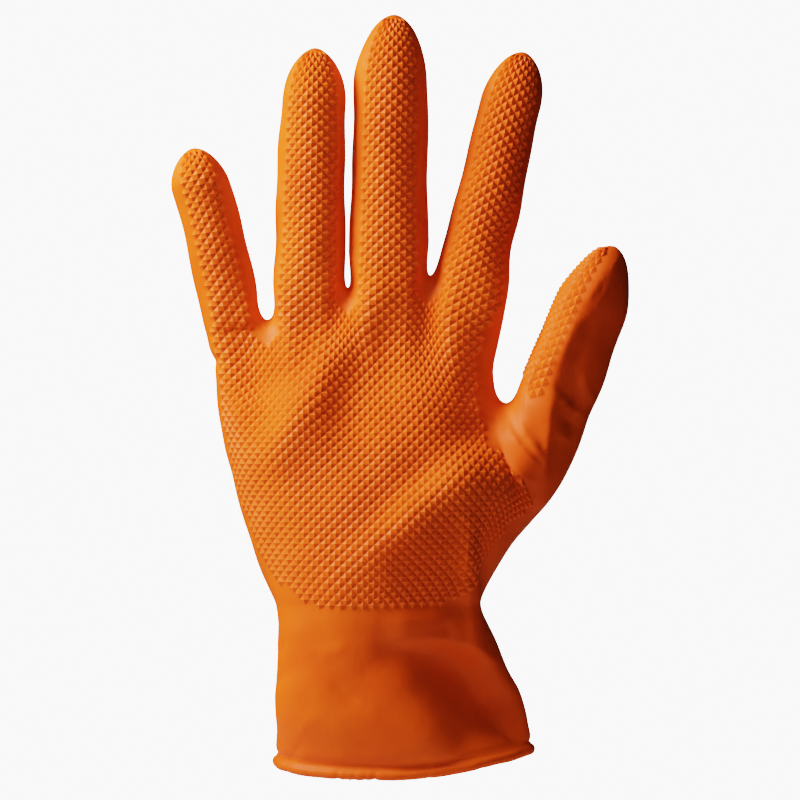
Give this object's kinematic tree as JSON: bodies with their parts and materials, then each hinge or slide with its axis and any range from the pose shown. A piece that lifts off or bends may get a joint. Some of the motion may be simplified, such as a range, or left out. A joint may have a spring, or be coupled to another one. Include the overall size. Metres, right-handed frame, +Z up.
{
  "type": "nitrile exam glove",
  "caption": "Right-hand nitrile exam glove in its worn form, one hollow film with a raised diamond grip, a folded cuff and a rolled rim.",
  "frame": {"origin": "centre of the cuff's mouth, where the wrist comes out", "axes": "+Z up to the fingertips, palm towards -Y, thumb at +X"},
  "size_m": [0.1429, 0.051, 0.2374],
  "materials": {
    "nitrile_film": "satin orange nitrile film with a raised diamond grip"
  },
  "bodies": {
    "root": {"glove": "nitrile_film"}
  },
  "joints": []
}
